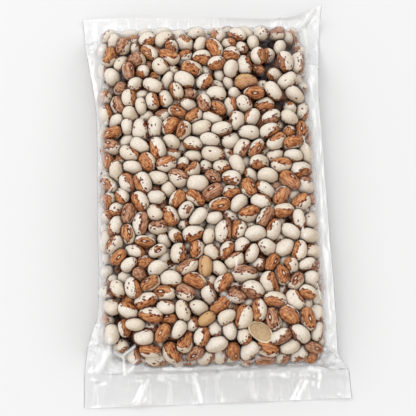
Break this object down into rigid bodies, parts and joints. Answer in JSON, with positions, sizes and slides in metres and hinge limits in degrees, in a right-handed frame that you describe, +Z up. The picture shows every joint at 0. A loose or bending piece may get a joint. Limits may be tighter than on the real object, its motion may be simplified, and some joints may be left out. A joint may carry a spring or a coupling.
{
  "type": "bag of dried beans",
  "caption": "Clear sealed pillow bag filled with dried oval beans, lying flat, with a flat film seal across each end.",
  "frame": {"origin": "centre of the underside, on the surface that the bag lies on", "axes": "+Y along the bag to its far seal, the one with the curled up corner; +X across the bag; +Z up out of the side that is shown"},
  "size_m": [0.15, 0.24, 0.0289],
  "materials": {
    "filled_bag": "pale and rust coloured beans seen through clear film",
    "bean_skin": "smooth dry skin, slightly shiny, ivory with rust brown patches",
    "clear_film": "clear glossy film"
  },
  "bodies": {
    "root": {"bean_bag": "filled_bag"}
  },
  "joints": []
}
